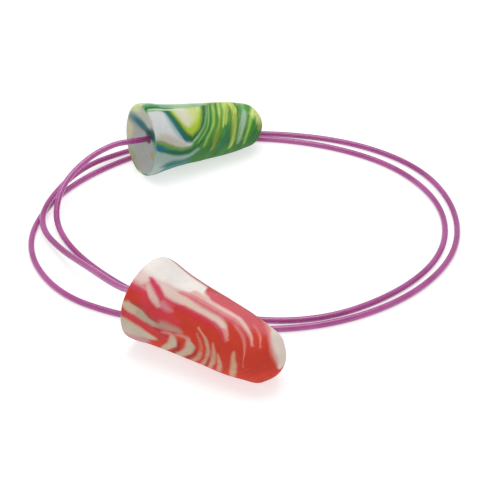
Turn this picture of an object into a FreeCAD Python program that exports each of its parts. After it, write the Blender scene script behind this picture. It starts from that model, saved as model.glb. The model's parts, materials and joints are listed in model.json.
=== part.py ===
"""A corded pair of foam ear plugs, laid down with the cord in a loose ring.

Millimetres, +Z up.  The plugs lie on the plane z = 0.  The origin is on that plane, in the
middle of the rectangle that the two plugs fill, and +Y runs along its longer side.

Each plug is tapered foam with a dished base.  The cord goes into a blind hole in the middle
of the dish, and glue holds it there.  Just outside the dish the thin cord bends and twists,
so a short link of cord stands there between two joints: a twist about the plug's own axis,
at the link's outer face, and a bend about the ball at its inner end.
"""
import FreeCAD, Part
import math
import os

Vector = FreeCAD.Vector

# Foam plug: lengths along its axis from the base plane, and radii.
PLUG_LENGTH = 26.0
BASE_RADIUS = 7.0
RIM_ROUND = 0.5
DISH_RADIUS = 14.0
FLANK = [(1.8, 6.9), (4.0, 6.45), (7.6, 6.0), (12.8, 5.6), (17.3, 5.2), (21.1, 4.6), (23.9, 3.75)]
HOLE_RADIUS = 0.85
HOLE_DEPTH = 8.5

# Cord and its glued end.
CORD_RADIUS = 0.55
TAIL_GLUED = 8.0
GLUE_STEP_IN = 0.1

# The joint just outside the dish.
PIVOT_OUT = 1.0
LINK_LENGTH = 2.0
CUP_RADIUS = 0.67

# Where each plug's base centre lies, which way its nose points, and how far it dips.
PLUGS = {
    "green": {"base": (-11.3, 28.6, 7.05), "heading": 29.0, "dip": 5.6},
    "red": {"base": (-7.1, -26.35, 7.05), "heading": -36.0, "dip": 5.6},
}

# The cord's route between the two links.  The first and last runs point straight out of the
# plugs.  The points between them were chosen by hand: down to the surface, two and a half
# turns, over the turn below with two points on top, and up to the other plug.
FIRST_RUN = 3.0
LIE = CORD_RADIUS
ROUTE = [
    (-21.0, 24.3, 6.7), (-24.3, 19.5, 4.4), (-25.6, 13.5, 2.8), (-25.5, 7.5, 1.3),
    (-23.0, 1.0, LIE), (-17.6, -7.3, LIE), (-9.0, -16.3, LIE), (4.0, -22.6, LIE),
    (20.0, -24.0, LIE), (34.5, -15.0, LIE), (43.5, -1.8, LIE), (45.0, 14.5, LIE),
    (38.3, 29.5, LIE), (25.5, 39.0, LIE), (9.5, 42.9, LIE), (-6.0, 39.8, LIE),
    (-19.5, 29.3, LIE), (-27.9, 16.2, LIE), (-30.3, -0.2, LIE), (-23.4, -15.2, LIE),
    (-10.5, -21.9, LIE), (-2.0, -23.3, LIE), (7.0, -26.5, LIE), (22.6, -24.9, LIE),
    (36.3, -16.3, LIE), (45.4, -2.6, LIE), (47.3, 13.4, LIE), (42.7, 29.2, LIE),
    (30.8, 40.2, LIE), (14.9, 44.7, LIE), (-1.0, 43.8, LIE), (-15.5, 36.5, LIE),
    (-23.5, 26.5, 1.8), (-28.0, 12.5, 1.8), (-27.7, 4.6, 1.0), (-23.0, -3.8, 1.3),
    (-18.0, -12.8, 3.4), (-13.6, -20.6, 5.8),
]
ARC_SHARE = 0.45


def plug_axis(plug):
    """The unit vector along a plug, from its base to its nose."""
    heading = math.radians(plug["heading"])
    dip = math.radians(plug["dip"])
    return Vector(math.cos(heading) * math.cos(dip), math.sin(heading) * math.cos(dip), -math.sin(dip))


def place(shape, plug):
    """Move a shape made along +X from the origin to where a plug lies."""
    turn = FreeCAD.Rotation(plug["heading"], plug["dip"], 0)
    shape.Placement = FreeCAD.Placement(Vector(*plug["base"]), turn)
    return shape


def turned(edges):
    """The solid that a closed outline in the X-Y plane makes about the X axis."""
    face = Part.Face(Part.Wire(edges))
    solid = face.revolve(Vector(0, 0, 0), Vector(1, 0, 0), 360)
    return solid if solid.ShapeType == "Solid" else Part.Solid(solid.Shells[0])


def lines(*points):
    """Straight edges through points given as (along, radius)."""
    ends = [Vector(x, y, 0) for x, y in points]
    return [Part.LineSegment(a, b).toShape() for a, b in zip(ends, ends[1:])]


def arc(start, middle, end):
    """A circular edge through three points given as (along, radius)."""
    return Part.Arc(*[Vector(x, y, 0) for x, y in (start, middle, end)]).toShape()


# The dish is part of a sphere.  The rim's round touches it, the base plane and the flank.
RIM_CENTRE = (RIM_ROUND, BASE_RADIUS - RIM_ROUND)
DISH_CENTRE = RIM_ROUND - math.sqrt((DISH_RADIUS + RIM_ROUND) ** 2 - RIM_CENTRE[1] ** 2)
DISH_BOTTOM = DISH_CENTRE + DISH_RADIUS
HOLE_END = DISH_BOTTOM + HOLE_DEPTH
PIVOT = DISH_BOTTOM - PIVOT_OUT
LINK_START = PIVOT - LINK_LENGTH
TAIL_END = DISH_BOTTOM + TAIL_GLUED


def dish_at(radius):
    """How far along the axis the dish is, at a radius."""
    return DISH_CENTRE + math.sqrt(DISH_RADIUS ** 2 - radius ** 2)


def foam_plug():
    """Foam body: dished base, rounded rim, flared flank, bullet nose and the cord's hole."""
    angle = math.atan2(RIM_CENTRE[1], RIM_CENTRE[0] - DISH_CENTRE)
    dish_edge = (DISH_CENTRE + DISH_RADIUS * math.cos(angle), DISH_RADIUS * math.sin(angle))
    mouth = (dish_at(HOLE_RADIUS), HOLE_RADIUS)
    half_way = (mouth[1] + dish_edge[1]) / 2
    rim_left = (0.0, RIM_CENTRE[1])
    rim_top = (RIM_ROUND, BASE_RADIUS)
    nose = (PLUG_LENGTH, 0.0)
    flank = Part.BSplineCurve()
    flank.interpolate(
        Points=[Vector(x, y, 0) for x, y in [rim_top] + FLANK + [nose]],
        InitialTangent=Vector(1, 0, 0),
        FinalTangent=Vector(0, -1, 0),
    )
    edges = lines((HOLE_END, 0.0), (HOLE_END, HOLE_RADIUS), mouth)
    edges.append(arc(mouth, (dish_at(half_way), half_way), dish_edge))
    edges.append(arc(dish_edge, rim_left, rim_top))
    edges.append(flank.toShape())
    edges += lines(nose, (HOLE_END, 0.0))
    return turned(edges)


def cord_link():
    """The short stretch of cord outside the dish, with a ball at the bend's centre."""
    slope = CORD_RADIUS * math.sqrt(0.5)
    edges = lines((PIVOT, CORD_RADIUS), (LINK_START, CORD_RADIUS), (LINK_START, 0.0))
    edges += lines((LINK_START, 0.0), (PIVOT + CORD_RADIUS, 0.0))
    edges.append(arc((PIVOT + CORD_RADIUS, 0.0), (PIVOT + slope, slope), (PIVOT, CORD_RADIUS)))
    return turned(edges)


def cord_tail():
    """The glued end of the cord, with a cup that gives the link's ball room to turn."""
    lip = PIVOT + math.sqrt(CUP_RADIUS ** 2 - CORD_RADIUS ** 2)
    half_angle = math.asin(CORD_RADIUS / CUP_RADIUS) / 2
    middle = (PIVOT + CUP_RADIUS * math.cos(half_angle), CUP_RADIUS * math.sin(half_angle))
    edges = [arc((PIVOT + CUP_RADIUS, 0.0), middle, (lip, CORD_RADIUS))]
    edges += lines((lip, CORD_RADIUS), (TAIL_END, CORD_RADIUS), (TAIL_END, 0.0))
    edges += lines((TAIL_END, 0.0), (PIVOT + CUP_RADIUS, 0.0))
    return turned(edges)


def glue_bond():
    """Set glue: a thin cup that fills the hole round the cord's glued end."""
    start = DISH_BOTTOM + GLUE_STEP_IN
    return turned(lines(
        (start, CORD_RADIUS), (start, HOLE_RADIUS), (HOLE_END, HOLE_RADIUS), (HOLE_END, 0.0),
        (TAIL_END, 0.0), (TAIL_END, CORD_RADIUS), (start, CORD_RADIUS),
    ))


def cord_points():
    """The whole route, from the outer face of the green link to that of the red link."""
    ends = []
    for plug in (PLUGS["green"], PLUGS["red"]):
        axis = plug_axis(plug)
        face = Vector(*plug["base"]) + axis * LINK_START
        ends.append((face, face - axis * FIRST_RUN))
    (green_face, green_next), (red_face, red_next) = ends
    return [green_face, green_next] + [Vector(*p) for p in ROUTE] + [red_next, red_face]


def cord_tube(points):
    """A round tube along straight runs joined by tangent arcs, and the arcs' radii."""
    edges = []
    radii = []
    start = points[0]
    for before, corner, after in zip(points, points[1:], points[2:]):
        back = (before - corner).normalize()
        ahead = (after - corner).normalize()
        half_turn = (math.pi - back.getAngle(ahead)) / 2
        reach = ARC_SHARE * min(before.distanceToPoint(corner), after.distanceToPoint(corner))
        radius = reach / math.tan(half_turn)
        middle_way = (back + ahead).normalize()
        middle = corner + middle_way * (radius / math.cos(half_turn) - radius)
        arc_start = corner + back * reach
        arc_end = corner + ahead * reach
        edges.append(Part.LineSegment(start, arc_start).toShape())
        edges.append(Part.Arc(arc_start, middle, arc_end).toShape())
        radii.append(radius)
        start = arc_end
    edges.append(Part.LineSegment(start, points[-1]).toShape())
    path = Part.Wire(edges)
    ring = Part.Edge(Part.Circle(points[0], points[1] - points[0], CORD_RADIUS))
    tube = path.makePipeShell([Part.Wire(ring)], True, False)
    return tube if tube.ShapeType == "Solid" else Part.Solid(tube.Shells[0]), path.Length, radii


def build():
    """Every node's solid, by name."""
    nodes = {}
    for colour, plug in PLUGS.items():
        nodes[colour + "_foam_plug"] = place(foam_plug(), plug)
        nodes[colour + "_cord_link"] = place(cord_link(), plug)
        nodes[colour + "_cord_tail"] = place(cord_tail(), plug)
        nodes[colour + "_glue_bond"] = place(glue_bond(), plug)
    nodes["cord"], length, radii = cord_tube(cord_points())
    print("cord length %.1f mm" % length)
    print("cord radii, mm:", " ".join("%.0f" % radius for radius in radii))
    section = math.pi * CORD_RADIUS ** 2
    print("tube volume over section times length: %.4f" % (nodes["cord"].Volume / (section * length)))
    return nodes


def report_plug_frames():
    """Print each plug's axis, pivot and nose, which the record's joints and mounts use."""
    for colour, plug in PLUGS.items():
        axis = plug_axis(plug)
        base = Vector(*plug["base"])
        for name, along in (("link face", LINK_START), ("pivot", PIVOT), ("nose", PLUG_LENGTH)):
            point = base + axis * along
            print("%s %s (%.4f, %.4f, %.4f) mm" % (colour, name, point.x, point.y, point.z))
        print("%s axis (%.6f, %.6f, %.6f)" % (colour, axis.x, axis.y, axis.z))


os.makedirs("parts", exist_ok=True)
for node, shape in build().items():
    assert shape.isValid() and shape.Volume > 0, node
    print("%-18s %8.2f mm3, lowest z %.3f" % (node, shape.Volume, shape.BoundBox.ZMin))
    shape.exportStep("parts/%s.step" % node)
report_plug_frames()
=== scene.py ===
"""Looks of a corded pair of foam ear plugs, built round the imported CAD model.

Everything is in metres in the CAD frame.  Sizes below are in millimetres and are turned into
metres where an object is made.  A place on a plug is given as (along, around): along is
millimetres from the base plane towards the nose, and around is degrees about the plug's
axis, 0 at the top and 90 on the side that faces -Y.
"""
import json
import math

import bpy
from mathutils import Matrix, Vector, noise


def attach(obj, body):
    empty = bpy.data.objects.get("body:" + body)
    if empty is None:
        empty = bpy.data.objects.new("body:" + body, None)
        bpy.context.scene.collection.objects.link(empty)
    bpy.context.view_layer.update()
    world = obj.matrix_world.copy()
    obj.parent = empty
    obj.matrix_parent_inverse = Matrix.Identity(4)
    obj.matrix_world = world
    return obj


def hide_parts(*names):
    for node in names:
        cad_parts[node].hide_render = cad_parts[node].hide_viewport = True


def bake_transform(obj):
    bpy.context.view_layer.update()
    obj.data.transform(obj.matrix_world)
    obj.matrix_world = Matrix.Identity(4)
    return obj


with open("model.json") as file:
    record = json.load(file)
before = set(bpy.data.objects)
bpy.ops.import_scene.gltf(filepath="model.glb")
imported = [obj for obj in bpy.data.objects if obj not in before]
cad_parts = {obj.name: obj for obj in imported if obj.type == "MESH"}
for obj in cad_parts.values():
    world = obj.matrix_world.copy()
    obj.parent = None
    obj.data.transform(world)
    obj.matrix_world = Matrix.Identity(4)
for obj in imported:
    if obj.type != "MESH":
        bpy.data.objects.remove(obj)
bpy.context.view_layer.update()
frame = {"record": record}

MM = 0.001

# The mesh attribute that holds each point's place on its own piece, in millimetres.
PLACE = "place_mm"

# The plug's outline, as in the CAD model: lengths along its axis from the base plane, and radii.
PLUG_LENGTH = 26.0
BASE_RADIUS = 7.0
RIM_ROUND = 0.5
DISH_RADIUS = 14.0
FLANK = [(1.8, 6.9), (4.0, 6.45), (7.6, 6.0), (12.8, 5.6), (17.3, 5.2), (21.1, 4.6), (23.9, 3.75)]
DISH_CENTRE = RIM_ROUND - math.sqrt((DISH_RADIUS + RIM_ROUND) ** 2 - (BASE_RADIUS - RIM_ROUND) ** 2)
DISH_BOTTOM = DISH_CENTRE + DISH_RADIUS

# The cord's hole: its mouth is rounded, and only its outer part is shown.
HOLE_RADIUS = 0.85
MOUTH_ROUND = 0.3
HOLE_SHOWN = 4.0

# The nose meets the axis square on, and this sets how full its last span is.
NOSE_FULLNESS = 1.3

# How fine the foam's mesh is: rows on each stretch of the outline, and steps round the axis.
HOLE_ROWS = 8
MOUTH_ROWS = 5
DISH_ROWS = 34
RIM_ROWS = 10
FLANK_ROWS = 14
FOAM_TURNS = 192

# The free cord, and the short link of cord outside the dish, as in the CAD model.
CORD_RADIUS = 0.55
PIVOT_OUT = 1.0
LINK_LENGTH = 2.0
PIVOT = DISH_BOTTOM - PIVOT_OUT
LINK_START = PIVOT - LINK_LENGTH

# The cord's end is made this far into the hole.
TAIL_SHOWN = 5.0
END_ROWS = 40
END_TURNS = 32

# The glue's surface in the hole, and how near it comes to the foam and how far into the cord.
GLUE_LEVEL = 0.35
GLUE_SAG = 0.225
GLUE_ROWS = 8
GLUE_TURNS = 48
OUTER_GAP = 0.01
INNER_OVERLAP = 0.02

# The cord's route between the two plugs.  It follows the CAD model's, with the points next to
# the plugs moved so that the cord droops sooner there.  Its first and last runs point
# straight out of the plugs.
FIRST_RUN = 1.5
LIE = CORD_RADIUS
ROUTE = [
    (-16.4, 26.0, 7.4),
    (-20.6, 23.6, 6.1), (-24.3, 18.9, 4.3), (-25.8, 13.5, 2.8), (-25.6, 7.5, 1.3),
    (-23.0, 1.0, LIE), (-17.6, -7.3, LIE), (-9.0, -16.3, LIE), (4.0, -22.6, LIE),
    (20.0, -24.0, LIE), (34.5, -15.0, LIE), (43.5, -1.8, LIE), (45.0, 14.5, LIE),
    (38.3, 29.5, LIE), (25.5, 39.0, LIE), (9.5, 42.9, LIE), (-6.0, 39.8, LIE),
    (-19.5, 29.3, LIE), (-27.9, 16.2, LIE), (-30.3, -0.2, LIE), (-23.4, -15.2, LIE),
    (-11.2, -22.5, LIE), (-2.4, -23.0, LIE), (7.0, -26.5, LIE), (22.6, -24.9, LIE),
    (36.3, -16.3, LIE), (45.4, -2.6, LIE), (47.3, 13.4, LIE), (42.7, 29.2, LIE),
    (30.8, 40.2, LIE), (14.9, 44.7, LIE), (-1.0, 43.8, LIE), (-15.5, 36.5, LIE),
    (-23.5, 26.5, 1.8), (-28.3, 12.5, 1.8), (-27.9, 5.2, 1.0), (-23.5, -3.0, 1.6),
    (-17.8, -12.0, 3.6), (-13.6, -18.9, 5.1), (-10.9, -22.7, 6.1),
]

# The camera looks along +Y, and down at a point on the floor inside the ring, through a long
# lens given as its focal length in millimetres.
LOOK_AT = Vector((7.96, 2.30, 0.0))
CAMERA_DISTANCE = 261.65
CAMERA_ELEVATION = math.radians(30.72)
CAMERA_LENS = 109.63

# Light: watts of the two soft boxes, and the strengths of the surround and the lit floor.
OVERHEAD_POWER = 1.9
FRONT_POWER = 0.5
SURROUND = 0.55
FLOOR_GLOW = 0.62
FLOOR_SIZE = 3000.0
WHITE = (1.0, 1.0, 1.0, 1.0)

# Strokes are drawn on (low, span) scales.  The around scale starts at a seam, which lies
# opposite the side that faces the camera.
SIDE_FACING = 52.0
AROUND_SCALE = (SIDE_FACING - 180.0, 360.0)
ALONG_SCALE = (-2.0, 30.0)
HALF_WIDTH_SCALE = (-2.0, 16.0)

# About how many degrees around the flank one millimetre is.
DEGREES_PER_MM = 9.0

# A little softness in millimetres that every stroke's edge gets on top of its own.
EDGE_SOFTER = 0.3

# A slanting stroke is cut longer than its width, up to this many times.
MOST_SLANT = 3.0

# The radius that widths near the very tip of the nose are worked out for.
TIP_RADIUS = 1.5


# ---------------------------------------------------------------- frame facts

def joint(name):
    """One joint of the record, by name."""
    return next(j for j in frame["record"]["behaviour"]["joints"] if j["name"] == name)


def plug_matrix(colour):
    """Plug space to the CAD frame: +X runs from the base centre to the nose, +Z is up."""
    axis = Vector(joint(colour + "_twist")["axis"]).normalized()
    left = -Vector(joint(colour + "_bend")["axis"]).normalized()
    up = axis.cross(left)
    face = Vector(joint(colour + "_twist")["pos_m"])
    base = face - axis * LINK_START * MM
    turn = Matrix((axis, left, up)).transposed().to_4x4()
    return Matrix.Translation(base) @ turn


# ---------------------------------------------------------------- camera, light and floor

def make_camera():
    """The camera, some way off with a long lens."""
    camera = bpy.data.objects.new("camera", bpy.data.cameras.new("camera"))
    bpy.context.scene.collection.objects.link(camera)
    back = Vector((0.0, -math.cos(CAMERA_ELEVATION), math.sin(CAMERA_ELEVATION)))
    camera.location = (LOOK_AT + back * CAMERA_DISTANCE) * MM
    camera.rotation_euler = (math.pi / 2 - CAMERA_ELEVATION, 0.0, 0.0)
    camera.data.lens = CAMERA_LENS
    camera.data.clip_start = 0.01
    bpy.context.scene.camera = camera


def make_area_light(name, place, size, power):
    """A square soft box, turned towards the plugs.  Its place and size are in millimetres."""
    light = bpy.data.lights.new(name, "AREA")
    light.size = size * MM
    light.energy = power
    lamp = bpy.data.objects.new(name, light)
    bpy.context.scene.collection.objects.link(lamp)
    lamp.location = Vector(place) * MM
    aim = (LOOK_AT - Vector(place)) * MM
    lamp.rotation_euler = aim.to_track_quat("-Z", "Y").to_euler()


def make_floor():
    """A pale floor with a faint grain, lit from below like a light table."""
    bpy.ops.mesh.primitive_plane_add(size=FLOOR_SIZE * MM)
    floor = bpy.context.object
    floor.name = "floor"
    paint = Painter("floor")
    grain = paint.add("TexNoise")
    grain.inputs["Scale"].default_value = 60.0
    tint = paint.mix(grain.outputs["Fac"], (0.47, 0.47, 0.47), (0.49, 0.49, 0.49))
    glow = {"Emission Color": WHITE, "Emission Strength": FLOOR_GLOW}
    floor.data.materials.append(paint.finish(tint, 0.6, glow))


def make_studio():
    """The floor, a white surround and two soft boxes."""
    make_floor()
    world = bpy.data.worlds.new("surround")
    bpy.context.scene.world = world
    world.use_nodes = True
    background = world.node_tree.nodes["Background"]
    background.inputs["Color"].default_value = WHITE
    background.inputs["Strength"].default_value = SURROUND
    make_area_light("overhead", (0.0, 100.0, 550.0), 450.0, OVERHEAD_POWER)
    make_area_light("front", (-250.0, -450.0, 400.0), 350.0, FRONT_POWER)
    bpy.context.scene.view_settings.view_transform = "Standard"


# ---------------------------------------------------------------- material tools

def rgb(code):
    """A hex colour as linear red, green and blue."""
    parts = [int(code[i:i + 2], 16) / 255 for i in (0, 2, 4)]
    return tuple(c / 12.92 if c <= 0.04045 else ((c + 0.055) / 1.055) ** 2.4 for c in parts)


class Painter:
    """Builds one material's nodes with short calls."""

    def __init__(self, name):
        self.material = bpy.data.materials.new(name)
        self.material.use_nodes = True
        self.tree = self.material.node_tree
        self.shader = self.tree.nodes["Principled BSDF"]

    def add(self, kind, **settings):
        """A new shader node with its settings."""
        node = self.tree.nodes.new("ShaderNode" + kind)
        for key, value in settings.items():
            setattr(node, key, value)
        return node

    def feed(self, socket, value):
        """Link a socket to another, or give it a plain value."""
        if isinstance(value, bpy.types.NodeSocket):
            self.tree.links.new(value, socket)
        elif isinstance(value, tuple) and len(socket.default_value) == 4:
            socket.default_value = (*value, 1.0)
        else:
            socket.default_value = value

    def math(self, operation, *values):
        """One step of arithmetic on sockets and plain values."""
        node = self.add("Math", operation=operation)
        for socket, value in zip(node.inputs, values):
            self.feed(socket, value)
        return node.outputs[0]

    def mix(self, factor, low, high, blend="MIX"):
        """One colour blended over another, by a factor from 0 to 1."""
        node = self.add("Mix", data_type="RGBA", blend_type=blend)
        for index, value in ((0, factor), (6, low), (7, high)):
            self.feed(node.inputs[index], value)
        return node.outputs[2]

    def ease(self, value, low, high, start=0.0, end=1.0):
        """A smooth step from start to end as value goes from low to high."""
        node = self.add("MapRange", interpolation_type="SMOOTHSTEP")
        for socket, given in zip(node.inputs, (value, low, high, start, end)):
            self.feed(socket, given)
        return node.outputs[0]

    def place_mm(self):
        """Where on its piece a point lies, in millimetres."""
        return self.add("Attribute", attribute_name=PLACE).outputs["Vector"]

    def noise(self, where, per_mm, detail=2.0, offset=0.0):
        """Noise with a given number of lumps per millimetre, as a texture node."""
        node = self.add("TexNoise", noise_dimensions="4D")
        self.feed(node.inputs["Vector"], where)
        node.inputs["W"].default_value = offset
        node.inputs["Scale"].default_value = per_mm
        node.inputs["Detail"].default_value = detail
        return node

    def curve(self, value, knots):
        """A smooth curve through (x, y) knots, all from 0 to 1, held flat past its ends."""
        node = self.add("FloatCurve")
        self.feed(node.inputs["Value"], value)
        node.mapping.extend = "HORIZONTAL"
        points = node.mapping.curves[0].points
        points[0].location = knots[0]
        points[-1].location = knots[-1]
        for knot in knots[1:-1]:
            points.new(*knot)
        for point in points:
            point.handle_type = "AUTO_CLAMPED"
        node.mapping.update()
        return node.outputs[0]

    def ramp(self, value, stops):
        """A colour ramp through (place, hex colour) stops."""
        node = self.add("ValToRGB")
        node.color_ramp.interpolation = "EASE"
        elements = node.color_ramp.elements
        while len(elements) < len(stops):
            elements.new(1.0)
        for element, (place, code) in zip(elements, stops):
            element.position = place
            element.color = (*rgb(code), 1.0)
        self.feed(node.inputs[0], value)
        return node.outputs[0]

    def bumps(self, *layers):
        """Chained bump nodes, each (height socket, depth in millimetres)."""
        normal = None
        for height, depth in layers:
            node = self.add("Bump")
            node.inputs["Distance"].default_value = depth * MM
            self.feed(node.inputs["Height"], height)
            if normal:
                self.feed(node.inputs["Normal"], normal)
            normal = node.outputs[0]
        self.feed(self.shader.inputs["Normal"], normal)

    def finish(self, colour, roughness, plain):
        """Give the shader its colour, its roughness and plain values by socket name."""
        self.feed(self.shader.inputs["Base Color"], colour)
        self.feed(self.shader.inputs["Roughness"], roughness)
        for name, value in plain.items():
            self.shader.inputs[name].default_value = value
        return self.material


# ---------------------------------------------------------------- swirl tools

def outline_radius(along):
    """About the plug's outer radius at a place along it."""
    stations = [(0.0, BASE_RADIUS)] + FLANK + [(PLUG_LENGTH, TIP_RADIUS)]
    if along <= 0.0:
        return BASE_RADIUS
    for (low, r_low), (high, r_high) in zip(stations, stations[1:]):
        if along <= high:
            return r_low + (r_high - r_low) * (along - low) / (high - low)
    return stations[-1][1]


def degree(along):
    """Millimetres of the flank's surface in one degree around, at a place along the plug."""
    return math.radians(1.0) * outline_radius(along)


def slant(points, index):
    """How far a stroke goes along, around and in all next to one of its points, in millimetres."""
    before = points[max(index - 1, 0)]
    after = points[min(index + 1, len(points) - 1)]
    rise = abs(after[0] - before[0])
    sweep = abs(after[1] - before[1]) * degree(points[index][0])
    return rise, sweep, math.hypot(rise, sweep)


# A stroke is (its run, colour, edge softness in millimetres, knots), and a knot is
# (place on the run, middle across it, half width across it in millimetres).

def line_along(colour, soft, *points):
    """A stroke that runs mainly along the plug, through (along, around, width)."""
    knots = []
    for index, (along, around, width) in enumerate(points):
        rise, _, length = slant(points, index)
        knots.append((along, around, width / 2 * min(length / rise, MOST_SLANT)))
    return "along", rgb(colour), soft, knots


def line_around(colour, soft, *points):
    """A stroke that runs mainly around the plug, through (along, around, width)."""
    knots = []
    for index, (along, around, width) in enumerate(points):
        _, sweep, length = slant(points, index)
        knots.append((around, along, width / 2 * min(length / sweep, MOST_SLANT)))
    return "around", rgb(colour), soft, knots


def patch_along(colour, soft, *points):
    """An area between two edges, through (along, from around, to around)."""
    knots = [(along, (a + b) / 2, (b - a) / 2 * degree(along)) for along, a, b in points]
    return "along", rgb(colour), soft, knots


def patch_around(colour, soft, *points):
    """An area between two edges, through (around, from along, to along)."""
    knots = [(around, (a + b) / 2, (b - a) / 2) for around, a, b in points]
    return "around", rgb(colour), soft, knots


def share(value, scale):
    """Where a value lies on a (low, span) scale, from 0 to 1."""
    low, span = scale
    return (value - low) / span


class Swirl(Painter):
    """A foam plug's material: its swirl is layers of soft-edged strokes and patches."""

    def __init__(self, name, seed):
        super().__init__(name)
        self.seed = seed
        self.place = self.place_mm()
        self.true_along, left, self.up = self.split(self.place)
        self.across = self.math("MULTIPLY", left, -1.0)
        self.radius = self.math("SQRT", self.sum_squares(left, self.up))
        drift = self.drift(0.16, 0.55)
        tremble = self.drift(1.1, 0.09)
        wander = [self.math("ADD", slow, quick) for slow, quick in zip(drift, tremble)]
        self.along = self.math("ADD", self.true_along, wander[0])
        sway = self.math("MULTIPLY", wander[1], DEGREES_PER_MM)
        self.around = self.math("ADD", self.true_around(), sway)

    def true_around(self):
        """Degrees around the axis, within half a turn each way of the side that faces the camera."""
        turn = self.add("VectorRotate", rotation_type="X_AXIS")
        self.feed(turn.inputs["Vector"], self.place)
        turn.inputs["Angle"].default_value = -math.radians(SIDE_FACING)
        _, left, up = self.split(turn.outputs[0])
        angle = self.math("ARCTAN2", self.math("MULTIPLY", left, -1.0), up)
        return self.math("ADD", self.math("DEGREES", angle), SIDE_FACING)

    def behind(self):
        """0 on the sides that the strokes fill, and 1 on the sides that they leave open."""
        away = self.math("ABSOLUTE", self.math("SUBTRACT", self.around, SIDE_FACING))
        return self.ease(away, 95.0, 125.0)

    def split(self, vector):
        """A vector's three parts."""
        node = self.add("SeparateXYZ")
        self.feed(node.inputs[0], vector)
        return node.outputs

    def sum_squares(self, a, b):
        """The squares of two values, added."""
        return self.math("ADD", self.math("MULTIPLY", a, a), self.math("MULTIPLY", b, b))

    def weighted(self, a, share_a, b, share_b):
        """Two values, each times its own number, added."""
        return self.math("ADD", self.math("MULTIPLY", a, share_a), self.math("MULTIPLY", b, share_b))

    def drift(self, per_mm, reach):
        """Two smooth offsets in millimetres, within about reach each way."""
        node = self.noise(self.place, per_mm, detail=1.0, offset=self.seed)
        parts = self.split(node.outputs["Color"])
        return [self.math("MULTIPLY", self.math("SUBTRACT", p, 0.5), 2 * reach) for p in parts[:2]]

    def curve_through(self, value, value_scale, knots, scale):
        """A smooth curve of a value through (value, result) knots on their (low, span) scales."""
        low, span = value_scale
        here = self.math("DIVIDE", self.math("SUBTRACT", value, low), span)
        result = self.curve(here, [(share(x, value_scale), share(y, scale)) for x, y in knots])
        low, span = scale
        return self.math("MULTIPLY_ADD", result, span, low)

    def cover(self, run, soft, knots):
        """How much of a stroke is here, from 0 to 1.  It dwindles to nothing past its ends."""
        knots = sorted(knots)
        soft += EDGE_SOFTER
        if run == "along":
            here, scale, past_end = self.along, ALONG_SCALE, soft
            cross, cross_scale = self.around, AROUND_SCALE
            to_mm = self.math("MULTIPLY", self.radius, math.radians(1.0))
        else:
            here, scale, past_end = self.around, AROUND_SCALE, soft * DEGREES_PER_MM
            cross, cross_scale = self.along, ALONG_SCALE
            to_mm = 1.0
        middles = [(place, middle) for place, middle, _ in knots]
        halves = [(place, half) for place, _, half in knots]
        halves.insert(0, (knots[0][0] - past_end, -soft))
        halves.append((knots[-1][0] + past_end, -soft))
        middle = self.curve_through(here, scale, middles, cross_scale)
        half = self.curve_through(here, scale, halves, HALF_WIDTH_SCALE)
        off = self.math("MULTIPLY", self.math("ABSOLUTE", self.math("SUBTRACT", cross, middle)), to_mm)
        edge = self.math("SUBTRACT", off, half)
        return self.ease(edge, -soft / 2, soft / 2, 1.0, 0.0)

    def paint(self, under, strokes):
        """Lay strokes over a colour, in order."""
        for run, colour, soft, knots in strokes:
            under = self.mix(self.cover(run, soft, knots), under, colour)
        return under

    def spot(self, under, colour, centre, reach, tilt=0.0):
        """A soft oval on the dish: centre and reach are (across, up) in millimetres."""
        cos = math.cos(math.radians(tilt))
        sin = math.sin(math.radians(tilt))
        x = self.math("SUBTRACT", self.across, centre[0])
        y = self.math("SUBTRACT", self.up, centre[1])
        wide = self.weighted(x, cos / reach[0], y, sin / reach[0])
        high = self.weighted(x, -sin / reach[1], y, cos / reach[1])
        far = self.math("SQRT", self.sum_squares(wide, high))
        return self.mix(self.ease(far, 0.35, 1.0, 1.0, 0.0), under, rgb(colour))

    def spots(self, under, marks):
        """Lay spots over a colour, in order."""
        for colour, centre, reach, tilt in marks:
            under = self.spot(under, colour, centre, reach, tilt)
        return under

    def marbled(self, stops, pitch, starts):
        """Screw-like wandering bands of several colours: pitch millimetres, and a number of starts."""
        bend = self.noise(self.place, 0.09, detail=1.0, offset=self.seed + 3.0)
        swing = self.math("MULTIPLY", self.math("SUBTRACT", bend.outputs["Fac"], 0.5), 3.2)
        turn = self.math("MULTIPLY", self.around, 2.0 * starts / 360.0)
        level = self.math("ADD", self.math("ADD", self.math("DIVIDE", self.along, pitch), turn), swing)
        return self.ramp(self.math("PINGPONG", level, 1.0), stops)

    def streaks(self, colour, tilt, strength):
        """Fine lighter and darker streaks round the plug, tilted in millimetres per degree."""
        spread = self.add("CombineXYZ")
        self.feed(spread.inputs[0], self.math("MULTIPLY_ADD", self.around, tilt, self.along))
        self.feed(spread.inputs[1], self.math("MULTIPLY", self.around, 0.012))
        fine = self.noise(spread.outputs[0], 1.9, detail=2.5, offset=self.seed + 5.0)
        shade = self.ease(fine.outputs["Fac"], 0.3, 0.7, 1.0 - strength, 1.0 + strength)
        return self.mix(1.0, colour, self.grey(shade), blend="MULTIPLY")

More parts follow.
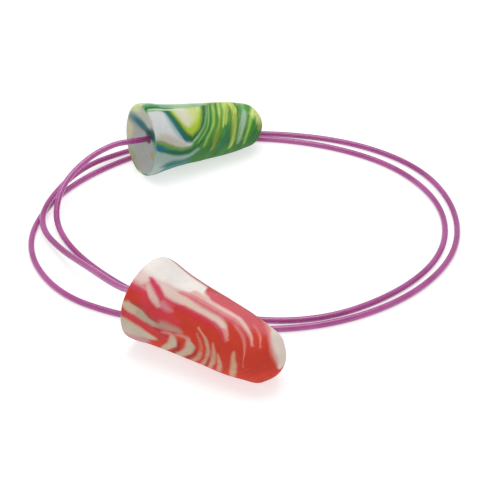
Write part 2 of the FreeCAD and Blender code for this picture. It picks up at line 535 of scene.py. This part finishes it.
    def foam(self, colour):
        """Soft matte foam: fine pores, darkened as painted shade, and a little light inside it."""
        cloud = self.noise(self.place, 0.35, detail=3.0, offset=self.seed + 7.0)
        shade = self.ease(cloud.outputs["Fac"], 0.25, 0.75, 0.93, 1.04)
        shaded = self.mix(1.0, colour, self.grey(shade), blend="MULTIPLY")
        pores = self.add("TexVoronoi", feature="F1")
        self.feed(pores.inputs["Vector"], self.place)
        pores.inputs["Scale"].default_value = 3.4
        pits = self.ease(pores.outputs["Distance"], 0.05, 0.42)
        # Painted shade: the pits are darkened towards a dark grey.
        shadow = self.math("MULTIPLY", self.math("SUBTRACT", 1.0, pits), 0.12)
        pore_shaded = self.mix(shadow, shaded, rgb("57564a"))
        skin = self.noise(self.place, 1.4, detail=3.0, offset=self.seed + 11.0)
        self.bumps((pits, 0.035), (skin.outputs["Fac"], 0.10))
        rough = self.ease(skin.outputs["Fac"], 0.3, 0.7, 0.62, 0.78)
        return self.finish(pore_shaded, rough, {
            "Subsurface Weight": 0.22,
            "Subsurface Radius": (1.0, 0.7, 0.5),
            "Subsurface Scale": 1.2 * MM,
            "Specular IOR Level": 0.2,
        })

    def grey(self, value):
        """A value as a grey colour."""
        node = self.add("CombineColor")
        for socket in node.inputs:
            self.feed(socket, value)
        return node.outputs[0]


# ---------------------------------------------------------------- the two swirls

def green_strokes():
    """Greens over a pale base: a teardrop near the rim, with slanting stripes beyond it."""
    return [
        # Painted shade darkening the lower side, and deep teal marks.
        patch_around("43793c", 3.0, (100, 9, 27), (114, 7, 27), (136, 6, 27), (180, 6, 27)),
        line_around("2f6f4c", 1.6, (16.6, 56, .6), (16.0, 74, 1.6), (15.2, 92, 1.6), (14.2, 112, .6)),
        patch_along("2f6f38", 1.4, (21.2, 88, 108), (22.5, 76, 118), (24, 76, 124), (25.5, 84, 130)),
        # Pale top, partly the foam's own pale tint and partly painted light from above, with a mint start
        # and a green veil near the nose.
        patch_along("b9cdb6", 1.6, (-1, -78, -6), (3, -56, -6), (6, -74, -5), (9, -54, -4), (12, -66, -5),
                    (14.5, -38, -12)),
        patch_along("b4d8c2", 1.8, (0.6, -24, -12), (2.5, -32, -10), (4.8, -22, -14)),
        patch_along("b4c88e", 2.0, (12.5, -34, -12), (14.5, -58, -10), (17, -46, -12), (18.8, -60, -12),
                    (20.2, -44, -24)),
        patch_along("86ad74", 2.0, (19.4, -50, 6), (21, -50, 10), (22.6, -50, -2)),
        # Painted highlight over the top of the nose.
        patch_along("cfe0b4", 1.6, (22.2, -66, -14), (23.6, -70, 4), (25.4, -70, 24)),
        # Painted highlight along the top of the rim, going on over the dish's edge.
        patch_around("cddaa4", 1.2, (-66, -1, 1.2), (-26, -1, 1.4), (-12, -1, 1.2), (-4, -1, 0.4)),
        # Stripes right of the teardrop, from left to right.
        line_around("a8c890", 0.25, (14.3, -22, .2), (13.3, 0, .4), (12.4, 20, .4), (11.3, 40, .35),
                    (10, 60, .35), (8.8, 75, .35), (7.4, 84, .3)),
        line_around("8fb468", 0.2, (15.0, -20, .15), (13.9, 2, .25), (12.6, 28, .25), (11.3, 56, .25),
                    (9.8, 78, .25), (8.8, 92, .15)),
        line_around("38763a", 0.3, (15.4, -18, .2), (14.4, 2, .4), (13.1, 28, .4), (11.8, 56, .4),
                    (10.2, 80, .4), (9.0, 98, .2)),
        line_around("9abd5a", 0.3, (15.9, -20, .3), (15.0, 0, .6), (13.8, 28, .6), (12.7, 52, .45),
                    (11.4, 74, .35), (10.5, 94, .2)),
        line_around("4a8236", 0.3, (16.5, -16, .2), (15.6, 2, .35), (14.5, 28, .4), (13.5, 50, .4),
                    (12.2, 74, .5), (11.2, 98, .3)),
        line_around("a6c46a", 0.3, (17.0, -22, .3), (16.2, 0, .6), (15.3, 24, .65), (14.7, 42, .5)),
        line_around("8a9f3e", 0.35, (15.2, 34, .3), (14.5, 48, .8), (13.9, 62, 1.0), (13.3, 76, 1.0),
                    (12.8, 92, .7), (12.4, 106, .3)),
        line_around("5a8f30", 0.3, (17.4, -14, .2), (16.6, 4, .35), (15.8, 24, .35), (14.9, 46, .4),
                    (14.3, 62, .5), (13.7, 84, .5), (13.0, 104, .3)),
        line_around("abc866", 0.3, (17.9, -20, .35), (17.1, 2, .6), (16.2, 26, .55), (15.4, 46, .45),
                    (14.9, 58, .2)),
        line_around("b8ca60", 0.3, (18.4, -16, .3), (17.8, 0, .5), (17.0, 22, .55), (16.2, 42, .55),
                    (15.7, 54, .2)),
        line_around("5c8a30", 0.4, (18.4, 6, .2), (17.8, 26, .35), (17.1, 44, .5), (16.7, 62, .5),
                    (16.4, 84, .4)),
        line_around("bccf66", 0.5, (19.5, -26, .6), (19.0, -4, 1.5), (18.7, 20, 1.6), (18.3, 44, 1.4)),
        line_around("a9bf58", 0.5, (18.4, 36, .9), (18.0, 50, 1.3), (17.6, 64, 1.15), (17.2, 80, 1.0),
                    (16.9, 98, .8), (16.6, 114, .3)),
        line_around("3f7a30", 0.4, (19.9, -4, .3), (19.5, 18, .4), (19.1, 36, .5), (18.6, 54, .5),
                    (18.1, 78, .5), (17.7, 104, .3)),
        line_around("67a866", 1.0, (21.2, 8, 1.0), (20.9, 22, 1.5), (20.5, 36, 1.4), (20.0, 48, 1.0)),
        line_around("9cb49c", 1.2, (20.9, 30, .5), (20.3, 44, 1.2), (19.8, 56, 1.3), (19.3, 70, 1.1),
                    (18.8, 84, .8), (18.5, 100, .3)),
        line_around("8fb585", 0.8, (19.2, 74, .5), (18.8, 88, .8), (18.4, 104, .4)),
        line_around("4b8a34", 0.4, (22.6, 18, .2), (21.8, 40, .5), (21.0, 58, .5), (20.2, 76, .6),
                    (19.7, 100, .3)),
        line_around("93bd55", 0.35, (23.2, 22, .2), (22.3, 40, .5), (21.6, 56, .7), (20.9, 76, .7),
                    (20.3, 94, .6), (20.0, 112, .3)),
        patch_along("c2d27c", 1.6, (22.3, 30, 46), (22.9, 16, 60), (23.8, 0, 68), (25.5, -20, 76)),
        line_around("3f7f30", 0.4, (23.0, 44, .2), (22.7, 54, .4), (22.2, 66, .7), (21.6, 84, .6),
                    (21.0, 104, .3)),
        patch_along("7c8f3e", 0.8, (23.6, 70, 82), (24.4, 68, 90), (25.5, 66, 96)),
        # The teardrop, from the outside in.
        patch_around("2a6a3c", 0.5, (0, 12.6, 13.2), (8, 3.9, 13.0), (20, 4.0, 12.4), (38, 4.3, 11.5),
                     (55, 4.8, 10.4), (68, 5.5, 9.3), (77, 6.6, 8.2)),
        line_around("1e6470", 0.7, (3.9, 14, .3), (4.1, 30, 1.0), (4.6, 50, 1.3), (5.4, 65, 1.3),
                    (6.5, 76, .8), (7.6, 80, .3)),
        patch_around("7f9a38", 0.6, (6, 5.4, 11.9), (14, 5.0, 11.7), (30, 5.4, 11.0), (45, 5.9, 10.3),
                     (56, 6.4, 9.7), (63, 6.9, 9.2), (68, 7.6, 8.5)),
        patch_around("a8c03c", 0.9, (8, 5.6, 11.6), (18, 5.6, 11.3), (32, 5.9, 10.7), (46, 6.3, 9.9),
                     (55, 6.7, 9.4), (61, 7.2, 8.9), (64, 7.7, 8.4)),
        patch_around("c6cf84", 1.3, (8, 5.2, 11.4), (18, 5.6, 11.0), (30, 6.0, 10.2), (40, 6.5, 9.4),
                     (47, 7.0, 8.6)),
        patch_around("d3d2bc", 1.7, (16, 6.2, 8.6), (28, 6.4, 8.7), (38, 6.7, 8.4), (45, 7.1, 8.0)),
        # Pale field beside the rim, its blue-grey edge, and its tail under the teardrop.
        patch_along("c9cdcc", 0.7, (-1, 17, 62), (1, 18, 69), (2.5, 18, 74), (3.5, 22, 78), (4.2, 46, 81),
                    (5.2, 64, 84), (6.4, 78, 86.5), (7.6, 81, 86)),
        line_around("94b3ae", 0.8, (3.6, 24, .3), (4.0, 42, .7), (4.4, 56, .7), (5.2, 68, .5)),
        patch_along("bbb6a8", 1.4, (0.6, 62, 70), (2.5, 62, 75), (4.2, 68, 81), (5.8, 77, 85)),
        line_along("cfe2c4", 0.3, (0.4, 13, .35), (2, 14, .4), (4, 14, .4), (6, 13, .45), (8, 12, .3)),
        # Dark lines along the top of the field.
        line_along("8fb590", 0.8, (4, 3, 1.2), (7, 4, 1.1), (10, 4, .9), (12.2, 2, .4)),
        line_along("5f9f78", 0.6, (-1, -2, .8), (1.5, -1, .8), (3.6, -1, .7), (5.4, 0, .4)),
        line_along("2a6f4a", 0.45, (-1, 8, .8), (1, 9, .8), (2.6, 9, .6), (4.4, 9, .4), (6, 9, .2)),
        # Blue-green line under the field, then the pale band and the teal below it.
        patch_along("5c8e8c", 1.4, (-1, 110, 170), (2, 110, 165), (5, 116, 150), (7.4, 118, 132)),
        patch_along("93a9a2", 0.9, (-1, 84, 122), (1.6, 90, 114), (4, 100, 112), (6, 103, 114),
                    (7.6, 103, 111), (9.2, 95, 100)),
        # The pale patch low by the rim is a painted highlight.
        patch_along("a9b8b0", 1.4, (-1, 112, 150), (0.6, 112, 146), (1.8, 114, 130)),
        line_along("386c6c", 1.2, (1.6, 118, .5), (4, 120, 1.1), (6.4, 122, 1.1), (8.2, 118, .4)),
        line_along("1f5f46", 0.6, (2.2, 89, .7), (4.6, 96, .9), (6.2, 98, .9), (7.6, 97, .8), (9.0, 90, .5),
                   (10.2, 82, .2)),
        line_along("1b5f5c", 0.5, (0.6, 83, .9), (2.0, 87, .7), (3.4, 91.5, .5), (4.6, 95.5, .2)),
        line_along("1f6a8a", 0.5, (-1, 79, 1.1), (0.4, 81, .9), (1.2, 83, .5), (2.0, 86, .1)),
        line_along("7d9450", 0.3, (0.8, 71, .3), (2, 76, .4), (4, 84, .4), (6, 89.5, .35), (7.6, 89, .2)),
    ]


def green_dish():
    """Marks on the green plug's dished base: pale grey-green with dark teal streaks to the hole, a painted
    lighter upper half and painted highlights on the rim.
    """
    return [
        # Painted light from above: the upper half lighter.
        ("b9c0ae", (0.0, 4.4), (7.8, 3.6), 8.0),
        # Painted highlight on the upper rim.
        ("d2dca4", (-3.2, 5.6), (4.2, 1.5), 32.0),
        ("8fb07c", (1.2, 6.4), (2.2, 1.0), -10.0),
        # Painted highlight on the rim at the side.
        ("c9c8a4", (-6.2, 0.0), (1.8, 3.4), 0.0),
        ("a3a684", (-3.6, -5.2), (3.6, 1.3), -34.0),
        ("9aacac", (5.4, -3.4), (2.6, 2.2), 30.0),
        ("a0a07e", (3.6, -1.9), (3.0, 1.2), 12.0),
        ("6b9d88", (4.9, 0.7), (4.2, 2.3), 12.0),
        ("7f9c9a", (-3.4, 2.3), (4.6, 2.0), -10.0),
        ("3f6f76", (-2.0, 1.9), (4.4, 1.3), -14.0),
        ("1f6a62", (3.6, 2.2), (4.6, 2.0), 18.0),
        ("1a504c", (1.2, 1.3), (2.8, 1.5), 10.0),
    ]


def green_foam():
    """The green plug's material: its front has streaks only past the teardrop."""
    paint = Swirl("green_foam", seed=1.0)
    stops = [(0.0, "2f7f4a"), (0.22, "4f8a3c"), (0.4, "a6c95c"), (0.5, "dfe6c4"),
             (0.62, "86b95a"), (0.8, "2b8068"), (1.0, "b7cfb4")]
    behind = paint.behind()
    colour = paint.mix(behind, rgb("4b8c3c"), paint.marbled(stops, pitch=4.5, starts=2))
    colour = paint.paint(colour, green_strokes())
    past_teardrop = paint.ease(paint.along, 9.5, 12.5)
    front = paint.mix(past_teardrop, colour, paint.streaks(colour, 0.045, 0.22))
    flank = paint.mix(behind, front, paint.streaks(colour, 0.05, 0.2))
    dish = paint.spots(rgb("acafa8"), green_dish())
    return paint.foam(dish_or_flank(paint, dish, flank))


def red_strokes():
    """Reds over a pale base: white along the top, and cream fingers below the middle."""
    return [
        # The far side's red, greyed and darkened along the top edge as painted shade, and the white top.
        patch_along("a85a5e", 2.0, (-1, -54, -32), (8, -54, -25), (14, -54, -27), (20, -54, -28),
                    (22, -54, -30)),
        patch_along("cc5c64", 1.6, (10.0, -13, -8), (11, -22, 3), (13, -28, 12), (16, -30, 16),
                    (19, -30, 16), (21.6, -28, 8), (23, -22, 2)),
        patch_along("e6dfda", 1.0, (-1, -36, 32), (2, -32, 24), (4, -30, 19), (6, -28, 17), (8, -27, 14),
                    (9.4, -25, 10), (10.4, -6, 8), (12, 3, 8)),
        patch_along("dcc2bd", 1.4, (-1, 20, 38), (1.6, 19, 39), (3, 17, 27), (5, 15, 31), (7, 15, 36),
                    (9, 15, 34)),
        patch_along("d79c9c", 1.0, (-1, 35, 41), (1.4, 35, 41), (2.8, 35, 40)),
        # Long pale lines that curve down towards the nose.
        line_along("dfb0aa", 0.6, (9.4, 6, 1.1), (12, 7, .9), (15, 8, .9), (17.5, 8, .8), (19, 12, .8),
                   (20.4, 20, .6), (21.3, 28, .35), (22.1, 40, .1)),
        line_along("e6c2bb", 0.35, (12, 6, .3), (15, 6, .4), (17.5, 6, .4), (19.2, 11, .3), (20.6, 20, .1)),
        line_along("cc5f6e", 0.6, (7.6, 18, .3), (10, 18, .8), (14, 16, .8), (17, 17, .7), (19, 23, .5),
                   (20.4, 33, .2)),
        line_along("d98f90", 0.4, (8, 14, .2), (10.5, 14, .4), (14, 13, .35), (17, 13, .3), (18.6, 16, .2)),
        line_along("dcc0b4", 0.6, (6, 25, 1.0), (8.4, 27, 1.3), (11, 27, 1.2), (14, 27, 1.1),
                   (15.6, 29, 1.3), (16.8, 34, 1.0), (17.8, 43, .3)),
        line_along("d98a82", 0.6, (16.8, 38, .4), (17.6, 43, .8), (18.2, 50, .4)),
        line_along("d3776c", 0.3, (18.0, 22, .2), (19.4, 29, .4), (20.5, 38, .45), (21.3, 50, .4),
                   (21.8, 66, .3), (22.0, 88, .15)),
        line_along("d8766a", 0.35, (20.3, -2, .2), (21.6, 8, .4), (22.5, 18, .4), (23.2, 34, .2)),
        # Crimson border, and the red field at the rim.
        line_along("c93a58", 0.5, (2.5, 22, .5), (3.4, 26, 1.0), (4.4, 30, 1.2), (5.4, 34, .8),
                   (6.6, 38, .6), (9, 38, .6), (12, 36, .6), (15, 35, .5), (16.6, 41, .4), (17.8, 52, .2)),
        patch_along("c43034", 0.8, (9, 38, 46), (12, 37, 44), (15, 37, 44)),
        patch_along("c5382a", 0.6, (-1, 42, 60), (1, 41, 61), (2.4, 42, 63), (3.5, 46, 66), (4.4, 52, 66)),
        line_along("cb3e58", 0.7, (-1, 42, .7), (1.2, 42, .8), (2.6, 43, .6), (3.6, 47, .3)),
        patch_along("c83a44", 0.9, (3.2, 48, 60), (4.4, 50, 66), (6, 50, 69), (7.6, 50, 68), (9.2, 52, 64),
                    (10.4, 56, 61)),
        line_along("d6b0aa", 0.5, (2.6, 31, .5), (3.4, 36, .9), (4.2, 41, 1.1), (5.2, 46, 1.1),
                   (6.1, 50, .6)),
        patch_along("cc7f88", 0.7, (6.1, 42, 48), (6.8, 41, 52), (7.6, 43, 52), (8.5, 46, 50)),
        # Cream streak and wedge at the rim, with thin crimson lines between them.
        patch_along("c8b098", 0.5, (0.4, 64, 73), (1.5, 63, 76), (3, 65, 78), (4.6, 69, 80)),
        patch_along("b3a28c", 0.7, (3.4, 67, 78), (4.6, 70, 80), (6, 72, 82), (7.2, 76, 80)),
        patch_along("b4897e", 0.8, (6.8, 71, 81), (8, 68, 81), (9.6, 68, 79), (11.0, 70, 75)),
        line_along("a03434", 0.3, (1.6, 62, .2), (3.4, 65, .3), (5.2, 70, .3), (7.0, 72, .2)),
        patch_along("bfb09e", 0.6, (-1, 89, 122), (1, 88, 122), (3, 91, 120), (4.6, 95, 114), (6, 100, 109),
                    (6.7, 103, 106)),
        # Pink tone darkened by painted shade on the lower side, below the wedge.
        patch_along("b98a8c", 1.4, (-1, 118, 180), (1, 118, 176), (3, 116, 146), (4.6, 113, 124)),
        line_along("c43e50", 0.6, (-1, 80, .9), (1.6, 81, .8), (3.4, 83, .7), (5.4, 86, .7), (7.2, 91, .6),
                   (8.6, 97, .2)),
        line_along("a8303a", 0.3, (6.4, 84, .2), (8.0, 84, .35), (9.4, 81, .35), (10.8, 78, .2)),
        # Cream fingers that sweep down and back under the plug.
        line_around("bca891", 0.45, (9.7, 85, .5), (9.9, 91, 1.4), (9.8, 99, 1.5), (9.2, 107, 1.3),
                    (8.4, 116, 1.1), (7.5, 127, 1.0), (6.4, 142, .9), (4.6, 168, .3)),
        line_along("cf8a80", 0.4, (7.8, 86, .2), (8.6, 84, .35), (9.6, 83, .4), (10.4, 86, .2)),
        line_around("bca891", 0.45, (12.5, 79, .6), (12.9, 86, 1.4), (12.8, 95, 1.45), (12.2, 105, 1.3),
                    (11.4, 115, 1.15), (10.5, 126, 1.1), (9.4, 140, .9), (7.6, 162, .3)),
        line_along("cf8a80", 0.4, (10.3, 80, .2), (11.3, 78, .4), (12.4, 77, .45)),
        line_around("cc705a", 0.35, (13.5, 63, .2), (14.2, 72, .45), (14.7, 85, .55), (14.6, 97, .6)),
        line_around("bf8a74", 0.4, (14.7, 92, .5), (14.2, 107, .7), (13.3, 120, .7), (12.3, 134, .6),
                    (11, 150, .3)),
        line_around("c4947c", 0.35, (13.4, 54, .2), (14.6, 61, .45), (15.4, 71, .6), (15.9, 84, .65),
                    (15.9, 96, .65), (15.6, 107, .65), (14.9, 120, .6), (13.9, 136, .4)),
        line_around("c4947c", 0.35, (16.3, 65, .2), (16.8, 77, .6), (17.0, 90, .8), (16.9, 102, .85),
                    (16.5, 114, .75), (15.7, 130, .5)),
        line_around("c4947c", 0.35, (17.6, 80, .2), (18.0, 91, .6), (18.2, 103, .8), (18.1, 114, .75),
                    (17.5, 128, .5)),
        line_around("c79c7e", 0.35, (20.1, 64, .2), (20.3, 76, .7), (20.6, 91, 1.0), (20.5, 104, .95),
                    (20.2, 120, .8), (19.5, 138, .5)),
        # Painted shade: darker red between the fingers on the lower side.
        line_around("8f2a22", 0.6, (11.0, 92, .3), (10.8, 104, .5), (9.8, 118, .6), (8.8, 132, .5)),
        line_around("9a2e24", 0.6, (13.9, 92, .2), (13.4, 106, .4), (12.3, 120, .5), (11.2, 134, .4)),
        line_around("9a2e24", 0.5, (16.3, 96, .2), (15.9, 112, .35), (15.0, 128, .4)),
        # White over the far side of the nose, with a pink edge.
        patch_along("d98c84", 1.0, (20.2, -74, -36), (21.4, -80, -21), (22.6, -80, -5), (23.6, -80, 9),
                    (24.5, -80, 26), (25.5, -80, 38)),
        patch_along("dccdc2", 1.0, (20.8, -80, -46), (21.9, -80, -31), (22.9, -80, -12), (23.9, -80, 2),
                    (24.8, -80, 17), (25.6, -80, 26)),
    ]


def red_dish():
    """Marks on the red plug's dished base: pale with soft pink and one red sweep."""
    return [
        ("e9d6cf", (1.5, 3.6), (6.0, 3.0), 12.0),
        ("d78f88", (-3.8, -2.2), (4.6, 2.4), 24.0),
        ("c6483a", (2.6, -3.4), (5.2, 1.7), 18.0),
        ("d98a86", (-0.6, 1.2), (3.2, 1.2), -20.0),
        ("b8304a", (0.4, -0.6), (1.8, 1.2), 20.0),
    ]


def red_foam():
    """The red plug's material: it has faint streaks past the rim, below the white top."""
    paint = Swirl("red_foam", seed=23.0)
    stops = [(0.0, "c93c2e"), (0.3, "cc4534"), (0.45, "d95a5c"), (0.55, "e6cfc2"),
             (0.66, "c8304a"), (0.82, "c93c2e"), (1.0, "e9b4ac")]
    colour = paint.mix(paint.behind(), rgb("c33a28"), paint.marbled(stops, pitch=4.0, starts=4))
    colour = paint.paint(colour, red_strokes())
    below_top = paint.ease(paint.around, 70.0, 95.0)
    past_rim = paint.ease(paint.along, 8.0, 11.0)
    streaked = paint.mix(below_top, colour, paint.streaks(colour, 0.08, 0.1))
    flank = paint.mix(past_rim, colour, streaked)
    dish = paint.spots(rgb("dcc4ba"), red_dish())
    return paint.foam(dish_or_flank(paint, dish, flank))


def dish_or_flank(paint, dish, flank):
    """The dish's colour inside the rim and the flank's outside it, soft over the rim."""
    within_rim = paint.ease(paint.radius, 6.2, 6.75, 1.0, 0.0)
    near_base = paint.ease(paint.true_along, 1.7, 2.2, 1.0, 0.0)
    return paint.mix(paint.math("MULTIPLY", within_rim, near_base), flank, dish)


# ---------------------------------------------------------------- plug meshes

def dish_at(radius):
    """How far along the axis the dish is, at a radius."""
    return DISH_CENTRE + math.sqrt(DISH_RADIUS ** 2 - radius ** 2)


def arc_points(centre, radius, start, end, steps):
    """Points on a circle in the outline's plane, from one angle to another."""
    angles = [math.radians(start + (end - start) * i / steps) for i in range(steps + 1)]
    return [(centre[0] + radius * math.cos(a), centre[1] + radius * math.sin(a)) for a in angles]


def flank_slope(knots, index):
    """The flank's direction at a knot: along the axis at the rim, square to it at the nose."""
    if index == 0:
        return Vector((1.0, 0.0))
    if index == len(knots) - 1:
        return Vector((0.0, -NOSE_FULLNESS))
    before, here, after = knots[index - 1:index + 2]
    return (after - before) / ((after - here).length + (here - before).length)


def flank_points():
    """A smooth line through the flank's points, from the rim to the nose."""
    knots = [Vector(p) for p in [(RIM_ROUND, BASE_RADIUS)] + FLANK + [(PLUG_LENGTH, 0.0)]]
    points = []
    for index, (low, high) in enumerate(zip(knots, knots[1:])):
        span = (high - low).length
        leave = flank_slope(knots, index) * span
        arrive = flank_slope(knots, index + 1) * span
        for row in range(1, FLANK_ROWS + 1):
            t = row / FLANK_ROWS
            rise = 3 * t ** 2 - 2 * t ** 3
            point = low * (1 - rise) + high * rise
            point += leave * (t ** 3 - 2 * t ** 2 + t) + arrive * (t ** 3 - t ** 2)
            points.append((point.x, max(point.y, 0.0)))
    return points


def foam_outline():
    """The foam's outline from inside the hole, over the dish and the rim, to the nose."""
    mouth = HOLE_RADIUS + MOUTH_ROUND
    mouth_centre = (dish_at(mouth) + MOUTH_ROUND, mouth)
    rim_centre = (RIM_ROUND, BASE_RADIUS - RIM_ROUND)
    edge = math.atan2(rim_centre[1], rim_centre[0] - DISH_CENTRE)
    dish_edge = DISH_RADIUS * math.sin(edge)
    outline = [(DISH_BOTTOM + HOLE_SHOWN * (1 - i / HOLE_ROWS), HOLE_RADIUS) for i in range(HOLE_ROWS)]
    outline += arc_points(mouth_centre, MOUTH_ROUND, 270, 185, MOUTH_ROWS)
    for i in range(1, DISH_ROWS):
        radius = mouth + (dish_edge - mouth) * i / DISH_ROWS
        outline.append((dish_at(radius), radius))
    outline += arc_points(rim_centre, RIM_ROUND, 180 + math.degrees(edge), 90, RIM_ROWS)
    return outline + flank_points()


def lathe(name, outline, turns, matrix, shape=None):
    """A mesh in the CAD frame, made by turning (along, radius) points about a plug's axis.

    The function in shape may move each point first.  Each point keeps its place in the plug's
    own millimetres as an attribute, for the materials.
    """
    vertices = []
    rings = []
    for along, radius in outline:
        if radius < 1e-6:
            rings.append([len(vertices)])
            vertices.append(Vector((along, 0.0, 0.0)))
            continue
        rings.append(list(range(len(vertices), len(vertices) + turns)))
        for i in range(turns):
            angle = 2 * math.pi * i / turns
            vertices.append(Vector((along, -radius * math.sin(angle), radius * math.cos(angle))))
    faces = []
    for low, high in zip(rings, rings[1:]):
        for i in range(turns):
            j = (i + 1) % turns
            quad = [low[i % len(low)], low[j % len(low)], high[j % len(high)], high[i % len(high)]]
            faces.append(list(dict.fromkeys(quad)))
    if shape:
        vertices = [shape(v) for v in vertices]
    mesh = bpy.data.meshes.new(name)
    mesh.from_pydata([v * MM for v in vertices], [], faces)
    mesh.update()
    mesh.shade_smooth()
    place = mesh.attributes.new(PLACE, "FLOAT_VECTOR", "POINT")
    place.data.foreach_set("vector", [x for v in vertices for x in v])
    mesh.transform(matrix)
    piece = bpy.data.objects.new(name, mesh)
    bpy.context.scene.collection.objects.link(piece)
    return piece


def foam_shape(seed):
    """A function that makes a turned point slightly uneven, as cut and moulded foam is.

    The flank swells in and out by up to about 0.1 mm, and the base end moves as much along the
    axis.  Near the axis, round the hole and at the nose's tip, the foam keeps its shape.
    """
    shift = Vector((7.3, 3.1, 5.7)) * seed

    def uneven(point):
        radius = math.hypot(point.y, point.z)
        hold = min(max((radius - 1.2) / 2.0, 0.0), 1.0)
        out = Vector((0.0, point.y, point.z)).normalized() if radius > 0 else Vector()
        swell = noise.noise(point * 0.16 + shift) * 0.10 + noise.noise(point * 0.55 + shift) * 0.035
        dent = noise.noise(point * 0.30 - shift) * 0.10 if point.x < 3.0 else 0.0
        return point + (out * (swell - 0.03) + Vector((dent, 0.0, 0.0))) * hold

    return uneven


def make_plug(colour, seed, material):
    """One foam plug with its own material, riding on its CAD body."""
    matrix = plug_matrix(colour)
    piece = lathe(colour + "_foam", foam_outline(), FOAM_TURNS, matrix, foam_shape(seed))
    piece.data.materials.append(material)
    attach(piece, colour + "_plug")
    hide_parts(colour + "_foam_plug")


# ---------------------------------------------------------------- cord pieces

def cord_material():
    """Glossy, slightly see-into violet-pink plastic with a faintly uneven surface."""
    paint = Painter("cord_plastic")
    # Object coordinates are in metres, and a spline has no place attribute.
    place = paint.add("TexCoord").outputs["Object"]
    cloud = paint.noise(place, 0.12 / MM, detail=3.0)
    colour = paint.mix(paint.ease(cloud.outputs["Fac"], 0.3, 0.7), rgb("9c3680"), rgb("ae4d94"))
    fine = paint.noise(place, 1.3 / MM, detail=2.0, offset=4.0)
    paint.bumps((fine.outputs["Fac"], 0.02))
    rough = paint.ease(cloud.outputs["Fac"], 0.3, 0.7, 0.22, 0.34)
    return paint.finish(colour, rough, {
        "Subsurface Weight": 0.2,
        "Subsurface Radius": (1.0, 0.45, 0.8),
        "Subsurface Scale": 0.5 * MM,
        "Coat Weight": 0.5,
        "Coat Roughness": 0.1,
        "Specular IOR Level": 0.6,
    })


def glue_material():
    """Shiny, slightly yellow set glue."""
    paint = Painter("set_glue")
    place = paint.place_mm()
    cloud = paint.noise(place, 0.9, detail=2.0)
    colour = paint.mix(cloud.outputs["Fac"], rgb("8f8a6a"), rgb("b9b48c"))
    paint.bumps((paint.noise(place, 2.0).outputs["Fac"], 0.03))
    return paint.finish(colour, 0.22, {"Coat Weight": 0.4, "Coat Roughness": 0.1})


def cord_ends():
    """For each plug, the link's outer face and the route's next point, in metres."""
    ends = []
    for colour in ("green", "red"):
        twist = joint(colour + "_twist")
        face = Vector(twist["pos_m"])
        ends.append((face, face - Vector(twist["axis"]).normalized() * FIRST_RUN * MM))
    return ends


def make_cord(material):
    """The free cord: one open spline with the route's points as control points."""
    (green_face, green_next), (red_face, red_next) = cord_ends()
    points = [green_face, green_next] + [Vector(p) * MM for p in ROUTE] + [red_next, red_face]
    curve = bpy.data.curves.new("free_cord", "CURVE")
    curve.dimensions = "3D"
    curve.bevel_depth = CORD_RADIUS * MM
    curve.bevel_resolution = 7
    curve.resolution_u = 14
    curve.use_fill_caps = True
    spline = curve.splines.new("NURBS")
    spline.points.add(len(points) - 1)
    for target, point in zip(spline.points, points):
        target.co = (*point, 1.0)
    spline.order_u = 3
    spline.use_endpoint_u = True
    cord = bpy.data.objects.new("free_cord", curve)
    bpy.context.scene.collection.objects.link(cord)
    curve.materials.append(material)
    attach(cord, "cord")
    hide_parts("cord")


def make_cord_end(colour, material):
    """The cord from the link's outer face into the hole."""
    tail_end = DISH_BOTTOM + TAIL_SHOWN
    step = (tail_end - LINK_START) / END_ROWS
    tube = [(LINK_START + step * row, CORD_RADIUS) for row in range(END_ROWS + 1)]
    outline = [(LINK_START, 0.0)] + tube + [(tail_end, 0.0)]
    matrix = plug_matrix(colour)
    piece = lathe(colour + "_cord_end", outline, END_TURNS, matrix)
    piece.data.materials.append(material)
    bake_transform(piece)
    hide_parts(colour + "_cord_link", colour + "_cord_tail")


def make_glue(colour, material):
    """A ring of set glue round the cord in the hole, with a hollow meniscus."""
    outer = HOLE_RADIUS - OUTER_GAP
    inner = CORD_RADIUS - INNER_OVERLAP
    top = DISH_BOTTOM + GLUE_LEVEL
    bottom = DISH_BOTTOM + HOLE_SHOWN
    outline = [(bottom, inner), (bottom, outer)]
    for row in range(GLUE_ROWS + 1):
        t = row / GLUE_ROWS
        outline.append((top + 4 * GLUE_SAG * t * (1 - t), outer + (inner - outer) * t))
    outline.append((bottom, inner))
    piece = lathe(colour + "_glue", outline, GLUE_TURNS, plug_matrix(colour))
    piece.data.materials.append(material)
    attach(piece, colour + "_plug")
    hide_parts(colour + "_glue_bond")


# ---------------------------------------------------------------- the scene

make_camera()
CORD = cord_material()
make_cord(CORD)
GLUE = glue_material()
make_plug("green", 1, green_foam())
make_plug("red", 2, red_foam())
for side in ("green", "red"):
    make_cord_end(side, CORD)
    make_glue(side, GLUE)
make_studio()
